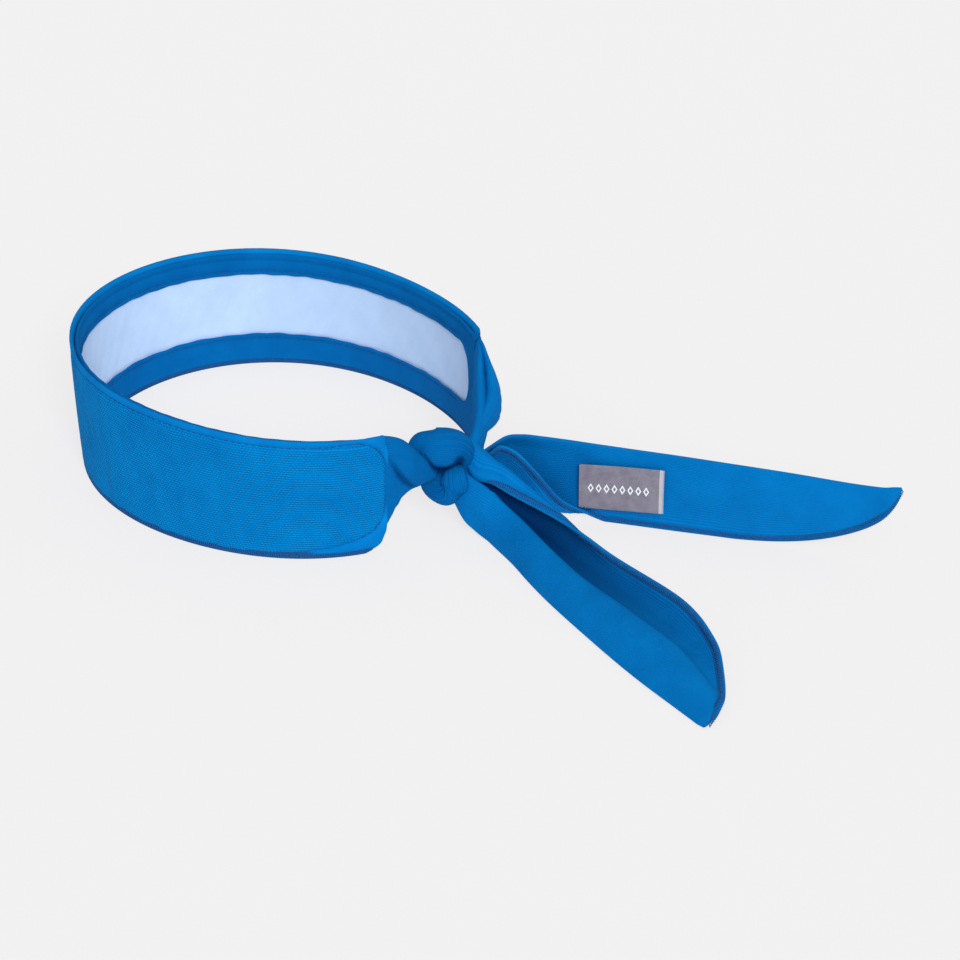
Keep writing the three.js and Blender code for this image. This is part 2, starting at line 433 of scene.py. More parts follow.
def woven_lozenges(tree, spacing=3.4, middle=10.3, half_height=2.3):
    """1 inside a row of small lozenges along the middle of the label's front, and 0 elsewhere."""
    along, across = cloth_split(tree, 1, 1)
    cell = math_node(tree, "SUBTRACT", math_node(tree, "FRACT", math_node(
        tree, "DIVIDE", along, spacing)), 0.5)
    sideways = math_node(tree, "MULTIPLY", math_node(tree, "ABSOLUTE", cell), 2.6 * half_height)
    upright = math_node(tree, "ABSOLUTE", math_node(tree, "SUBTRACT", across, middle))
    ring = math_node(tree, "ABSOLUTE", math_node(
        tree, "SUBTRACT", math_node(tree, "ADD", sideways, upright), half_height * 0.75))
    inside = math_node(tree, "LESS_THAN", ring, half_height * 0.25)
    from_middle = math_node(tree, "ABSOLUTE", math_node(tree, "SUBTRACT", along, ROW_MIDDLE))
    return math_node(tree, "MULTIPLY", inside, math_node(tree, "LESS_THAN", from_middle, ROW_HALF))


def label_material(name, dark, light):
    """Woven satin: fine warp ribs one way and slower picks the other."""
    material, tree, shader = nodes_of(name)
    along, across = cloth_split(tree, 1 / 0.45, 1 / 0.7)
    warp, weft = wave(tree, along), wave(tree, across)
    weave = math_node(tree, "ADD", warp, math_node(tree, "MULTIPLY", weft, 0.6))
    uneven = noise_node(tree, 240.0, 3.0)
    shade = math_node(tree, "ADD", uneven, math_node(tree, "MULTIPLY", weave, 0.08))
    motif = woven_lozenges(tree)
    mix = tree.nodes.new("ShaderNodeMix")
    mix.data_type = "RGBA"
    place, _ = cloth_split(tree, 1, 1)
    beyond = math_node(tree, "GREATER_THAN", place, SELVEDGE)
    selvedge = math_node(tree, "MULTIPLY", beyond, 0.45)
    tree.links.new(math_node(tree, "MAXIMUM", motif, selvedge), mix.inputs["Factor"])
    tree.links.new(mottled(tree, shade, dark, light), mix.inputs["A"])
    mix.inputs["B"].default_value = (0.82, 0.82, 0.86, 1)
    tree.links.new(mix.outputs["Result"], shader.inputs["Base Color"])
    set_inputs(shader, Roughness=0.45, Specular_IOR_Level=0.4)
    add_bump(tree, shader, [(weave, 0.35)], 0.0002)
    return material


MATERIALS = {
    "panel_knit": knit_material("panel_knit", (0, 0.115, 0.40), (0.0004, 0.285, 0.72),
                                1.1, 1.5, 0.7, 0.12, "Knit"),
    "tie_cloth": knit_material("tie_cloth", (0, 0.100, 0.345), (0.0004, 0.21, 0.585),
                               0.62, 0.8, 0.35, 0.07),
    "facing_cloth": knit_material("facing_cloth", (0, 0.076, 0.28), (0.0003, 0.155, 0.455),
                                  0.6, 0.8, 0.25, 0.05),
    "pad_sponge": sponge_material("pad_sponge"),
    "thread": thread_material("thread", (0.001, 0.045, 0.18), (0.006, 0.12, 0.36)),
    "label_satin": label_material("label_satin", (0.17, 0.16, 0.21), (0.24, 0.225, 0.28)),
}


def dress(piece, slot_name, body, *nodes):
    """Gives a piece its material, attaches it to its body unless that is None, and hides the CAD nodes that
    it stands for.
    """
    piece.data.materials.append(MATERIALS[slot_name])
    if body:
        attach(piece, body)
    if nodes:
        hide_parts(*nodes)
    return piece


# ---------------------------------------------------------------- the wall

def on_head(angle, height, depth):
    """Points of the wall at angles round the head in degrees, heights, and depths outward."""
    angle, height, depth = np.broadcast_arrays(angle, height, depth)
    turn = np.radians(angle)
    rise = height / BAND_HEIGHT
    radius = (HEAD_RADIUS + RIM_FLARE * rise + lerp(OVAL_AT_HEM, OVAL_AT_RIM, rise) * np.cos(2 * turn)
              + EGG * np.cos(3 * turn) + depth)
    return np.stack([radius * np.cos(turn), radius * np.sin(turn), height], -1)


def end_steps(first, last, close=10.0, fine=0.3, coarse=0.8):
    """Angles from first to last, closer together near both ends."""
    middle = np.arange(first + close, last - close, coarse)
    return np.concatenate((np.arange(first, first + close, fine), middle,
                           np.arange(last - close, last + fine / 2, fine)))


# The stitched outline of the knit at its near end, as (degrees past the end, height): along
# below the rim, round the upper corner, down the end, round the lower corner and back by the hem.
END_OUTLINE = np.array((
    (40.0, 53.6), (24.0, 53.8), (12.0, 54.9), (7.5, 55.2), (4.6, 53.4), (2.5, 50.6), (1.4, 47.6), (0.6, 42.5),
    (0.5, 30.0), (0.7, 19.5), (1.7, 14.8), (3.6, 11.0), (7.6, 7.6), (15.0, 5.0), (28.0, 2.6), (40.0, 1.5)))
# The points of the outline where its upper corner ends and its lower one does
UPPER_CORNER, LOWER_CORNER = 5, 12
NEAR_KNIT_END = NEAR_END + 2.0
# How many degrees short of the end the cloth stops at each height, with its round lower corner
END_HEIGHTS = (0, 1.0, 2.2, 4.5, 10, 14, 52, 56, 58)
END_RETREAT = (7.5, 4.2, 2.9, 1.4, 0.2, 0, 0, 0.5, 1.5)
wall_angles = end_steps(FAR_END, NEAR_KNIT_END)
WALL_LENGTH = running_length(on_head(wall_angles, BAND_HEIGHT / 2, 0))[-1]


def past_end(angle):
    """Degrees in from the nearer end of the knit."""
    return np.minimum(angle - FAR_END, NEAR_KNIT_END - angle)


def outline_distance(angle, height):
    """Millimetres from the stitched outline of the knit."""
    place = np.stack(np.broadcast_arrays(past_end(angle) * MM_PER_DEGREE, height), -1)
    outline = END_OUTLINE * (MM_PER_DEGREE, 1)
    nearest = np.full(place.shape[:-1], np.inf)
    for a, b in zip(outline, outline[1:]):
        share = np.clip(((place - a) @ (b - a)) / ((b - a) @ (b - a)), 0, 1)
        away = np.linalg.norm(place - a - share[..., None] * (b - a), axis=-1)
        nearest = np.minimum(nearest, away)
    along_rim = np.abs(height - END_OUTLINE[0][1]) + 0 * angle
    return np.where(past_end(angle) > END_OUTLINE[0][0], along_rim, nearest)


def panel_sheet_grid():
    """The outer knit: rolled over at the rim and at the hem, and drawn in along its stitching."""
    up = np.linspace(0, 1, 64)[None, :]
    over, under = smooth(0.94, 1.0, up), 1 - smooth(0, 0.05, up)
    height = 2.3 + (BAND_HEIGHT - 2.9) * np.clip((up - 0.02) / 0.93, 0, 1) - 2.1 * over ** 2
    along = np.clip((wall_angles - FAR_END) / (NEAR_KNIT_END - FAR_END), 0, 1)[:, None]
    retreat = np.interp(height, END_HEIGHTS, END_RETREAT)
    angle = lerp(FAR_END + retreat, NEAR_KNIT_END - retreat, along)
    height = height + 0 * angle
    depth = 1.25 + 0.35 * np.sin(np.pi * height / BAND_HEIGHT) - 0.95 * over ** 1.6 - 0.7 * under
    away = outline_distance(angle, height)
    depth = depth - 1.1 * np.exp(-(away / 0.95) ** 2) * (1 - over)
    depth = depth - 1.2 * (1 - smooth(0, 3.5, past_end(angle))) * smooth(46, 56, height)
    slack = smooth(0, 14, height) * (1 - smooth(BAND_HEIGHT - 12, BAND_HEIGHT, height))
    depth = depth + 0.25 * slack * waviness(angle + 0.12 * height, (23.0, 9.5, 5.2), 11)
    run = angle * MM_PER_DEGREE
    depth = depth + 0.14 * waviness(run, (6.1, 3.7, 2.6), 12) * np.exp(-(away / 3.5) ** 2)
    depth = depth + 0.12 * waviness(run, (17.3, 11.1), 13) * np.exp(-((height - 3) / 6) ** 2)
    turn = END_OUTLINE[:, 0].argmin()
    upper = np.interp(past_end(angle), *END_OUTLINE[turn::-1].T)
    lower = np.interp(past_end(angle), *END_OUTLINE[turn:].T)
    inside = smooth(-0.3, 0.5, np.minimum(upper - height, height - lower))
    return on_head(angle, height, depth), inside


def outward_at(angles):
    """The outward direction of the wall at each angle."""
    return unit(on_head(angles, 20, 1) - on_head(angles, 20, 0))


def window_edge(angle, full, middle):
    """The height of a window edge, closing in a round to the middle at both ends."""
    from_end = np.minimum(angle - FAR_END, NEAR_END - angle) - 4.5
    rounded = 1 - np.clip(from_end / 8.0, 0, 1)
    return lerp(middle, full, np.sqrt(np.clip(1 - rounded ** 2.2, 0, 1)))


def upper_facing_profile(angle):
    """The lining above the window: rolled at the rim, with a folded lower edge."""
    down = np.linspace(0, 1, 26)[None, :]
    edge = window_edge(angle, WINDOW_TOP, WINDOW_MIDDLE) + 0.25 * waviness(angle, (19.0, 7.0), 21)
    height = lerp(edge, BAND_HEIGHT - 0.7, 1 - down)
    roll = 1 - smooth(0, 0.14, down)
    height = height - 2.0 * roll ** 2
    fold = smooth(0.84, 1, down)
    crease = np.exp(-((height - 53.2) / 0.9) ** 2) - 0.7 * np.exp(-((height - 50.5) / 1.6) ** 2)
    depth = -1.6 + 0.75 * roll ** 1.5 - 0.35 * fold + 0.4 * crease
    depth = depth + 0.14 * waviness(angle + 0.3 * height, (17.0, 6.0), 22) * (1 - roll)
    return depth, height


def lower_facing_profile(angle):
    """The lining below the window, with a folded upper edge and a soft crease along it."""
    up = np.linspace(0, 1, 26)[None, :]
    join = 0.9 * np.exp(-((angle - 222.0) / 1.2) ** 2)
    edge = window_edge(angle, WINDOW_BOTTOM, WINDOW_MIDDLE) + 0.3 * waviness(angle, (21.0, 8.0), 23) + join
    height = lerp(2.9, edge, up)
    fold = smooth(0.8, 1, up)
    crease = np.exp(-((height - 9.0) / 2.6) ** 2)
    depth = -1.6 - 0.35 * fold - 0.35 * crease * (0.6 + 0.4 * waviness(angle, (41.0, 15.0), 24))
    depth = depth + 0.16 * waviness(angle + 0.2 * height, (15.0, 6.4), 25)
    return depth, height


def pad_profile(angle):
    """The pad, pressed thin where the facings hold it and a little full in the window."""
    up = np.linspace(0, 1, 34)[None, :]
    height = lerp(WINDOW_BOTTOM - 5, WINDOW_TOP + 5, up) + 0 * angle
    fullness = np.sin(np.pi * np.clip((height - WINDOW_BOTTOM) / (WINDOW_TOP - WINDOW_BOTTOM), 0, 1))
    depth = -0.45 - 0.35 * fullness + 0.12 * waviness(angle + 0.4 * height, (13.0, 5.0, 29.0), 26)
    return depth, height


def wall_sheet(name, profile, half, inset=0.0):
    """A sheet round the head whose depth and height come from its profile at each angle."""
    angles = end_steps(FAR_END + inset, NEAR_END - inset)[:, None]
    depth, height = profile(angles)
    grid = on_head(angles, height, depth)
    return loft(name, sheet_rings(grid, rounded_ends(len(grid), half)))


def build_wall():
    """The knit, the pad and the two strips of lining round the head."""
    grid, inside = panel_sheet_grid()
    rings = sheet_rings(grid, rounded_ends(len(grid), PANEL_HALF))
    panel = loft("outer_panel_knit", rings)
    mark(panel, rings, inside, "Knit")
    dress(panel, "panel_knit", "band", "outer_panel")
    pad = wall_sheet("cooling_pad_sponge", pad_profile, PAD_HALF, 2.0)
    dress(pad, "pad_sponge", "band", "cooling_pad")
    for node, profile, height in (("upper_facing", upper_facing_profile, 0.0125),
                                  ("lower_facing", lower_facing_profile, 0.015)):
        facing = wall_sheet(node + "_cloth", profile, FACING_HALF)
        dress(facing, "facing_cloth", "band", node)


# ---------------------------------------------------------------- stitching

def read_at(places, length, row):
    """Values of three parts each, read between those of a row that are known at each length."""
    return np.stack([np.interp(places, length, row[:, k]) for k in range(3)], -1)


def resample(points, *more, pitch):
    """Points at equal steps along a line, with more rows of values carried along."""
    length = running_length(points)
    at = np.arange(pitch / 2, length[-1], pitch)
    return [read_at(at, length, row) for row in (points, *more)]


HEM_HALF = 1.2


def overlock(name, edge, inward, normal, half, full_reach=2.1, pitch=0.95, radius=0.24, grow=0.1):
    """Overlocking: slanted threads wrapped over a cut edge, and a chain of loops on either face.

    The directions inward are shorter than 1 where the cloth is too narrow for the full reach."""
    points, inward, normal = resample(edge, inward, normal, pitch=pitch)
    ahead = unit(np.gradient(points, axis=0))
    normal = unit(normal)
    paths = []
    reaches = full_reach * smooth(-0.5, 1, pitch * np.arange(len(points)) / grow)
    for p, t, i, n, reach in zip(points, ahead, inward, normal, reaches):
        slant = t * pitch * 0.55
        paths.append(np.stack([
            p + i * reach + n * (half + 0.05) - slant,
            p + i * reach * 0.5 + n * (half + 0.3) - slant * 0.4,
            p + i * 0.1 + n * (half + 0.12),
            p - i * 0.42 + n * half * 0.2,
            p + i * 0.1 - n * (half + 0.12) + slant * 0.3,
            p + i * reach * 0.5 - n * (half + 0.3) + slant * 0.7,
            p + i * reach - n * (half + 0.05) + slant,
        ]))
    for side in (1, -1):
        for p, t, i, n, reach in zip(points[:-1], ahead, inward, normal, reaches):
            start = p + i * (reach + 0.1) + side * n * (half + 0.12)
            paths.append(np.stack([start + t * pitch * k / 6 + i * 0.22 * math.sin(k * math.pi / 6)
                                   for k in range(7)]))
    return threads(name, paths, radius)


def running_stitch(name, line, normal, length=2.3, gap=0.7, radius=0.2):
    """Lockstitch along a line: short threads that dip into the cloth at both ends."""
    points, normal = resample(line, normal, pitch=length + gap)
    ahead = unit(np.gradient(points, axis=0))
    paths = []
    for p, t, n in zip(points, ahead, unit(normal)):
        paths.append(np.stack([
            p + t * length * (k / 5 - 0.5) + n * (0.32 * math.sin(math.pi * k / 5) - 0.12)
            for k in range(6)]))
    return threads(name, paths, radius)


def build_hem():
    """The overlocking along the hem and up its corners, and the pressed edge inside it."""
    inward_angle = np.linspace(FAR_END + 8, NEAR_KNIT_END - 8, 800)
    corner = np.array(((6.0, 0.5), (4.2, 1.6), (2.6, 3.4), (1.6, 5.6)))
    angles = np.concatenate((FAR_END + corner[::-1, 0], inward_angle, NEAR_KNIT_END - corner[:, 0]))
    heights = np.concatenate((corner[::-1, 1], 0.0 * inward_angle + 0.45, corner[:, 1]))
    line = on_head(angles, heights, 0.0)
    outward = outward_at(angles)
    inward = unit(np.cross(outward, np.gradient(line, axis=0)))
    inward *= np.sign(inward[:, 2:3])
    hem = overlock("lower_hem_overlock", line, inward, outward, HEM_HALF, full_reach=2.3)
    dress(hem, "thread", "band", "lower_hem")
    rise = np.linspace(0.5, 2.8, 8)[None, :, None]
    core_grid = line[:, None] + inward[:, None] * (rise - 0.45)
    core = loft("lower_hem_core", sheet_rings(core_grid, rounded_ends(len(core_grid), HEM_HALF)))
    dress(core, "thread", "band", "lower_hem")


def build_rim_and_window_stitching():
    """The stitching below the rim, and the two lines inside that hold the pad."""
    angles = np.linspace(FAR_END + 3, NEAR_KNIT_END - 3, 900)
    heights = np.interp(past_end(angles), *END_OUTLINE[UPPER_CORNER::-1].T)
    line = on_head(angles, heights, 0.85)
    rim = running_stitch("rim_stitching_thread", line, outward_at(angles), radius=0.15)
    dress(rim, "thread", "band", "rim_stitching")
    inner = np.linspace(FAR_END + 14, NEAR_END - 14, 900)
    for name, height, node in (("upper_window_thread", WINDOW_TOP + 1.6, "upper_window_stitching"),
                               ("lower_window_thread", WINDOW_BOTTOM - 1.8, "lower_window_stitching")):
        line = on_head(inner, height + 0.2 * waviness(inner, (17.0, 5.0), 33), -2.3)
        stitches = running_stitch(name, line, -outward_at(inner), radius=0.16)
        dress(stitches, "thread", "band", node)


def build_end_seams():
    """The stitching down both ends of the knit, over the roots of the ties."""
    down_end = END_OUTLINE[UPPER_CORNER:LOWER_CORNER + 1]
    for side, edge, inward_sign in (("near", NEAR_KNIT_END, -1), ("far", FAR_END, 1)):
        end_angles = edge + inward_sign * down_end[:, 0]
        line = on_head(end_angles, down_end[:, 1], 0.95)
        length = running_length(line)
        line = read_at(np.linspace(0, length[-1], 120), length, line)
        normal = np.tile(outward_at(end_angles[2:3]), (len(line), 1))
        stitches = running_stitch(side + "_end_seam_thread", line, normal)
        dress(stitches, "thread", "band", side + "_end_seam")


# ---------------------------------------------------------------- the tails

# Where a tail starts to narrow to its tip, and the share of its width below which it has no
# overlocking
TIP_START, TIP_BARE = 98.0, 0.04
# The width of cloth that a full reach of the overlocking needs
OVERLOCK_ROOM = 2.8
# The half thickness of a tail's cloth and of the overlocking round its cut edge
TAIL_HALF, LOCK_HALF = 0.95, 0.75
WRINKLE_SIZE = 0.5
LOWEST_CLOTH = 1.0


def joint_place(name):
    joint = next(j for j in frame["joints"] if j["name"] == name)
    return np.array(joint["pos_m"], float) / MM


# The tails. A heading is in degrees from the long axis of the whole band. Rails run along a
# tail from its folded edge to its cut edge, each a row of (left, height) at the stations, which
# are distances along the heading from the pivot. The painted fold shade says how much shade is
# painted into each rail's colour, from 0 in the open to 1 deep in the fold, and fold_end is where
# that painted shade has faded out as the fold opens. The near tail goes over a crest and
# through a hollow to a lip.
NEAR_TAIL = SimpleNamespace(
    name="near_tail", pivot=joint_place("near_tail_lift"), heading=-20.3, seed=41,
    flat=(0.172, 0.045), flat_area=0.0073, tip_length=69.0,
    paint_shade_behind=False, fold_end=165.0, lock_from=3.0,
    stations=(-6, 0, 5, 14, 31, 46, 62, 96, 131, 152, 167),
    rails=(
        ((-3.5, 14), (-1.6, 6.7), (1, 3.4), (2.8, 1.7), (2.2, 1.2), (0.8, 1.2), (-0.2, 1.2),
         (-0.6, 1.2), (0.5, 1.2), (2.3, 1.2), (3.6, 1.2)),
        ((-4.6, 22), (-1.8, 16), (0.6, 14), (3.6, 10), (4.4, 8.5), (3.6, 8), (3, 7.8),
         (4, 7.8), (7, 6.4), (7.5, 4), (9, 2)),
        ((-2.5, 29), (0.4, 27), (4.2, 24.5), (8.2, 18.7), (10.2, 14), (10, 12.6), (10, 12),
         (13, 11), (17, 9), (15, 6.5), (14, 3)),
        ((1, 26), (3.5, 20), (6.6, 14), (11.4, 8.4), (14.6, 5.4), (15.2, 4.8), (15.6, 4.8),
         (18.8, 5), (22, 5), (20, 4), (20, 2.8)),
        ((7, 28), (10, 22), (13.6, 15), (19, 8), (22, 4.4), (22.6, 4), (23.4, 4.2),
         (26.6, 4.6), (28.6, 5), (26, 4.6), (26, 3.6)),
        ((8, 37), (11.5, 33), (16.6, 26.5), (22.2, 17.5), (26.4, 10.4), (27.6, 8), (28.2, 7),
         (32, 7), (33.4, 7.6), (30.4, 6.6), (30.4, 4.6)),
        ((3.4, 39.7), (6.7, 35.4), (12, 31.4), (18.6, 24.6), (25, 17), (27.8, 13.2), (29.2, 10.4),
         (33.8, 9.6), (35.6, 10.2), (33.2, 8.6), (33.2, 6)),
        ((1, 33), (3, 26), (7.5, 24.8), (12.9, 21.6), (22.4, 16.6), (27.2, 14.4), (30, 12.6),
         (36, 11.8), (38, 12), (36.2, 10), (36.2, 7)),
    ),
    painted_fold_shade=(0, 0, 0.05, 1, 1, 0.75, 0.4, 0))
# The far tail stands on its cut edge, which curls forward and up beside the knot.
FAR_TAIL = SimpleNamespace(
    name="far_tail", pivot=joint_place("far_tail_swing"), heading=24.6, seed=42,
    flat=(0.178, 0.038), flat_area=0.0064, tip_length=74.0,
    # This tail's painted fold shade goes on the back face of its sheet
    paint_shade_behind=True, fold_end=55.0, lock_from=-2.0,
    stations=(-8, 0, 5, 12, 20, 30, 40, 50, 85, 125, 164, 172),
    rails=(
        ((-4, 26), (-1, 32.5), (0.5, 36), (1, 37.5), (0.5, 38), (0, 38.2), (0, 38),
         (0.2, 37.7), (0.5, 36.6), (0.5, 35.2), (1, 33.4), (1.2, 34.9)),
        ((-3, 24), (1, 28), (2.5, 30), (3, 30.5), (2.6, 30.5), (1.8, 30), (1.2, 29.5),
         (0.8, 29), (0, 28), (-0.6, 26.6), (0, 25), (0, 26.4)),
        ((-2, 20), (0, 21), (1, 21.5), (1.6, 21), (1.6, 19), (1.4, 19), (1.2, 19.5),
         (1.2, 20), (0, 19.5), (-1, 18), (-0.4, 17), (-0.4, 18)),
        ((-5, 18), (-3, 18), (-3.4, 18), (-3, 15.5), (-1.6, 10.5), (0.2, 9), (1, 10),
         (1.3, 10.5), (0.4, 10.4), (-0.6, 9.4), (0, 9), (0, 10)),
        ((-6, 22), (-4, 24), (-4.8, 26), (-5, 21), (-4, 12), (-2, 4.5), (0.4, 4.2),
         (1, 5), (0.6, 5), (0, 4.4), (0, 4.4), (0, 5)),
        ((-9, 28), (-8, 32), (-8.4, 36.5), (-9, 34.5), (-8, 26), (-4.4, 12), (-0.6, 5),
         (0.8, 0.9), (0.8, 0.9), (0.8, 0.9), (0.8, 0.9), (0.8, 1.2)),
    ),
    painted_fold_shade=(0, 0.2, 0.6, 0.95, 1, 0.35))


def beside(tail, along, left, height):
    """Points given along a tail's heading from its pivot, to the left of it, and in height."""
    turn = math.radians(tail.heading)
    return np.stack([tail.pivot[0] + along * math.cos(turn) - left * math.sin(turn),
                     tail.pivot[1] + along * math.sin(turn) + left * math.cos(turn),
                     height + 0 * along], -1)


def tie_width(tail, along):
    """The width of a tail, as a share: full, then rounded off to nothing at the tip."""
    past = np.clip((along - TIP_START) / tail.tip_length, 0, 1)
    return np.sqrt(np.clip(1 - past ** 2, 0, 1))


def tail_stations(tail):
    """Distances along a tail, closer together towards the end of its rounded tip."""
    body = np.linspace(tail.stations[0], TIP_START, 105)[:-1]
    turn = np.linspace(0, math.radians(88.4), 75)
    return np.concatenate((body, TIP_START + tail.tip_length * np.sin(turn)))


def tail_grid(tail, along, rows=48):
    """The middle surface of a tail from its folded edge to its cut edge, and the shade painted into its
    colour in the fold.
    """
    controls = np.stack([spline(tail.stations, rail, along) for rail in np.array(tail.rails, float)], 1)
    grid = np.zeros((len(along), rows, 3))
    shade = np.zeros((len(along), rows))
    # Painted shade, fading out along the tail as its fold opens
    closed = 1 - smooth(0, tail.fold_end, along)
    for i, distance in enumerate(along):
        row = controls[i]
        length = running_length(row)
        share = np.linspace(0, 1, rows) * tie_width(tail, distance) * length[-1]
        section = spline(length, row, share)
        grid[i] = beside(tail, distance, section[:, 0], section[:, 1])
        shade[i] = closed[i] * np.interp(share, length, tail.painted_fold_shade)
    return grid, shade


def puffed(tail, along, rows, half):
    """Half thickness of a folded and overlocked tie: full in the middle, pressed at the cut edge."""
    across = np.linspace(0, 1, rows)[None, :]
    profile = half * (0.75 + 0.25 * np.sin(np.pi * np.clip(across * 1.15, 0, 1)))
    tip = np.clip(tie_width(tail, along) * 3.2, 0.45, 1)[:, None]
    return profile * tip


def wrinkled(grid, along, seed, size):
    """Small soft wrinkles in the cloth, strongest beside the knot."""
    across = np.linspace(0, TIE_WIDTH, grid.shape[1])[None, :]
    rng = np.random.default_rng(seed)
    total = np.zeros(grid.shape[:2])
    for _ in range(9):
        direction = rng.uniform(-0.5, 0.5)
        scale = rng.uniform(9, 30)
        phase = rng.uniform(0, 2 * math.pi)
        run = across * math.cos(direction) + along[:, None] * math.sin(direction)
        total += np.sin(2 * np.pi * run / scale + phase) * scale / 30
    near_knot = 0.35 + 0.9 * np.exp(-np.clip(along[:, None], 0, None) / 22)
    return grid + grid_normals(grid) * (total * size * near_knot / 3)[..., None]


def build_tail(tail):
    """A tail and the overlocking round its cut edge, both bending where the tail leaves the knot."""
    along = tail_stations(tail)
    grid, shade = tail_grid(tail, along)
    grid = wrinkled(grid, along, tail.seed, WRINKLE_SIZE)
    grid[..., 2] = np.maximum(grid[..., 2], LOWEST_CLOTH)
    rings = sheet_rings(grid, puffed(tail, along, grid.shape[1], TAIL_HALF))
    cloth = loft(tail.name + "_cloth", rings)
    # Shade painted into the fold of the tail's cloth
    mark(cloth, rings, shade, "PaintedShade", tail.paint_shade_behind)
    dress(cloth, "tie_cloth", None, tail.name)
    edge = grid[:, -1]
    ahead = unit(np.gradient(edge, axis=0))
    inward = grid[:, -4] - edge
    inward = unit(inward - ahead * np.einsum("ij,ij->i", inward, ahead)[:, None])
    inward *= np.clip(tie_width(tail, along) * TIE_WIDTH / OVERLOCK_ROOM, 0.3, 1)[:, None]
    locked = (along > tail.lock_from) & (tie_width(tail, along) > TIP_BARE)
    lock = overlock(tail.name + "_overlock_thread", edge[locked], inward[locked],
                    np.cross(ahead, inward)[locked], LOCK_HALF, grow=9.0)
    dress(lock, "thread", None, tail.name + "_overlock")
    for piece in (cloth, lock):
        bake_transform(piece)


# ---------------------------------------------------------------- the label

# The label rises this much for each millimetre along it
LABEL_TILT = 0.055
LABEL_COLUMNS, LABEL_ROWS = 40, 24
LABEL_HALF = 0.3
STITCH_START, STITCH_HEIGHT = 38.0, 8.5


def build_label():
    """The woven label on the far tail, standing off it a little at its lower corners."""
    low, high = (np.array(corner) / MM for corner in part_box("label"))
    turn = math.radians(FAR_TAIL.heading)
    start = (low[0] - FAR_TAIL.pivot[0]) / math.cos(turn)
    length = (high[0] - low[0]) / math.cos(turn)
    across, up = np.linspace(0, 1, LABEL_COLUMNS), np.linspace(0, 1, LABEL_ROWS)
    along = start + across * length
    curl = 0.5 * (1 - np.sin(np.pi * across))[:, None] * lerp(0.1, 1, up)
    left = -2.1 - 0.35 * np.sin(np.pi * up) - curl
    height = lerp(low[2], high[2], up) + LABEL_TILT * (along - start)[:, None]
    grid = beside(FAR_TAIL, along[:, None] + 0 * left, left, height)
    label = loft("label_woven", sheet_rings(grid, rounded_ends(LABEL_COLUMNS, LABEL_HALF, 2)))
    dress(label, "label_satin", "far_tail", "label")


def build_label_stitching(stitches=22, pitch=1.6):
    """Short stitches that hold the label's lower edge to the tail."""
    share = np.linspace(0, 1, 5)
    left = -2.9 - 0.2 * np.sin(np.pi * share)
    paths = [beside(FAR_TAIL, STITCH_START + pitch * stitch + share, left, STITCH_HEIGHT)
             for stitch in range(stitches)]
    dress(threads("label_stitch_thread", paths, 0.18), "thread", "far_tail", "label_stitching")


# ---------------------------------------------------------------- knot and gathered roots

azimuth, elevation = math.radians(CAMERA_AZIMUTH), math.radians(CAMERA_ELEVATION)
RIGHTWARD = np.array((math.cos(azimuth), math.sin(azimuth), 0.0))
TOWARD = np.array((math.sin(azimuth) * math.cos(elevation), -math.cos(azimuth) * math.cos(elevation),
                   math.sin(elevation)))
UPWARD = np.cross(TOWARD, RIGHTWARD)


def at_knot(points):
    """Points given as (rightward, upward, toward the viewer) from the knot's middle."""
    return KNOT + np.array(points, float) @ np.stack((RIGHTWARD, UPWARD, TOWARD))


# Where the folds of the knot run in under one another, with shade painted about them: (rightward, upward,
# radius)
PITS = ((-9.4, 3.2, 0.4), (-7.6, 0.4, 0.8), (-5.6, -2.2, 1.5), (-3.0, -3.6, 2.7), (-0.4, -2.7, 1.3),
        (2.6, -1.0, 1.0), (5.4, 0.9, 2.5))
CREASE = np.stack([np.interp(np.linspace(0, len(PITS) - 1, 60), range(len(PITS)), column)
                   for column in np.array(PITS).T], -1)
# How far towards or away from the viewer the painted shade about the pits reaches
PIT_DEPTH = 22.0
PLEAT_DEPTH = 0.1


def shade_pits(piece, overall=0.0):
    """Paints shade into the cloth about the pits of the knot, over an even painted shade of its own."""
    mesh = piece.data
    points = np.zeros(len(mesh.vertices) * 3)
    mesh.vertices.foreach_get("co", points)
    seen = (points.reshape(-1, 3) / MM - KNOT) @ np.stack((RIGHTWARD, UPWARD, TOWARD), -1)
    away = np.linalg.norm(seen[:, None, :2] - CREASE[:, :2], axis=-1) / CREASE[:, 2]
    painted_shade = np.exp(-away ** 2).max(axis=1) * (np.abs(seen[:, 2]) < PIT_DEPTH)
    values = mesh.attributes.new("PaintedShade", "FLOAT", "POINT")
    values.data.foreach_set("value", np.maximum(overall, painted_shade).astype(np.float32))


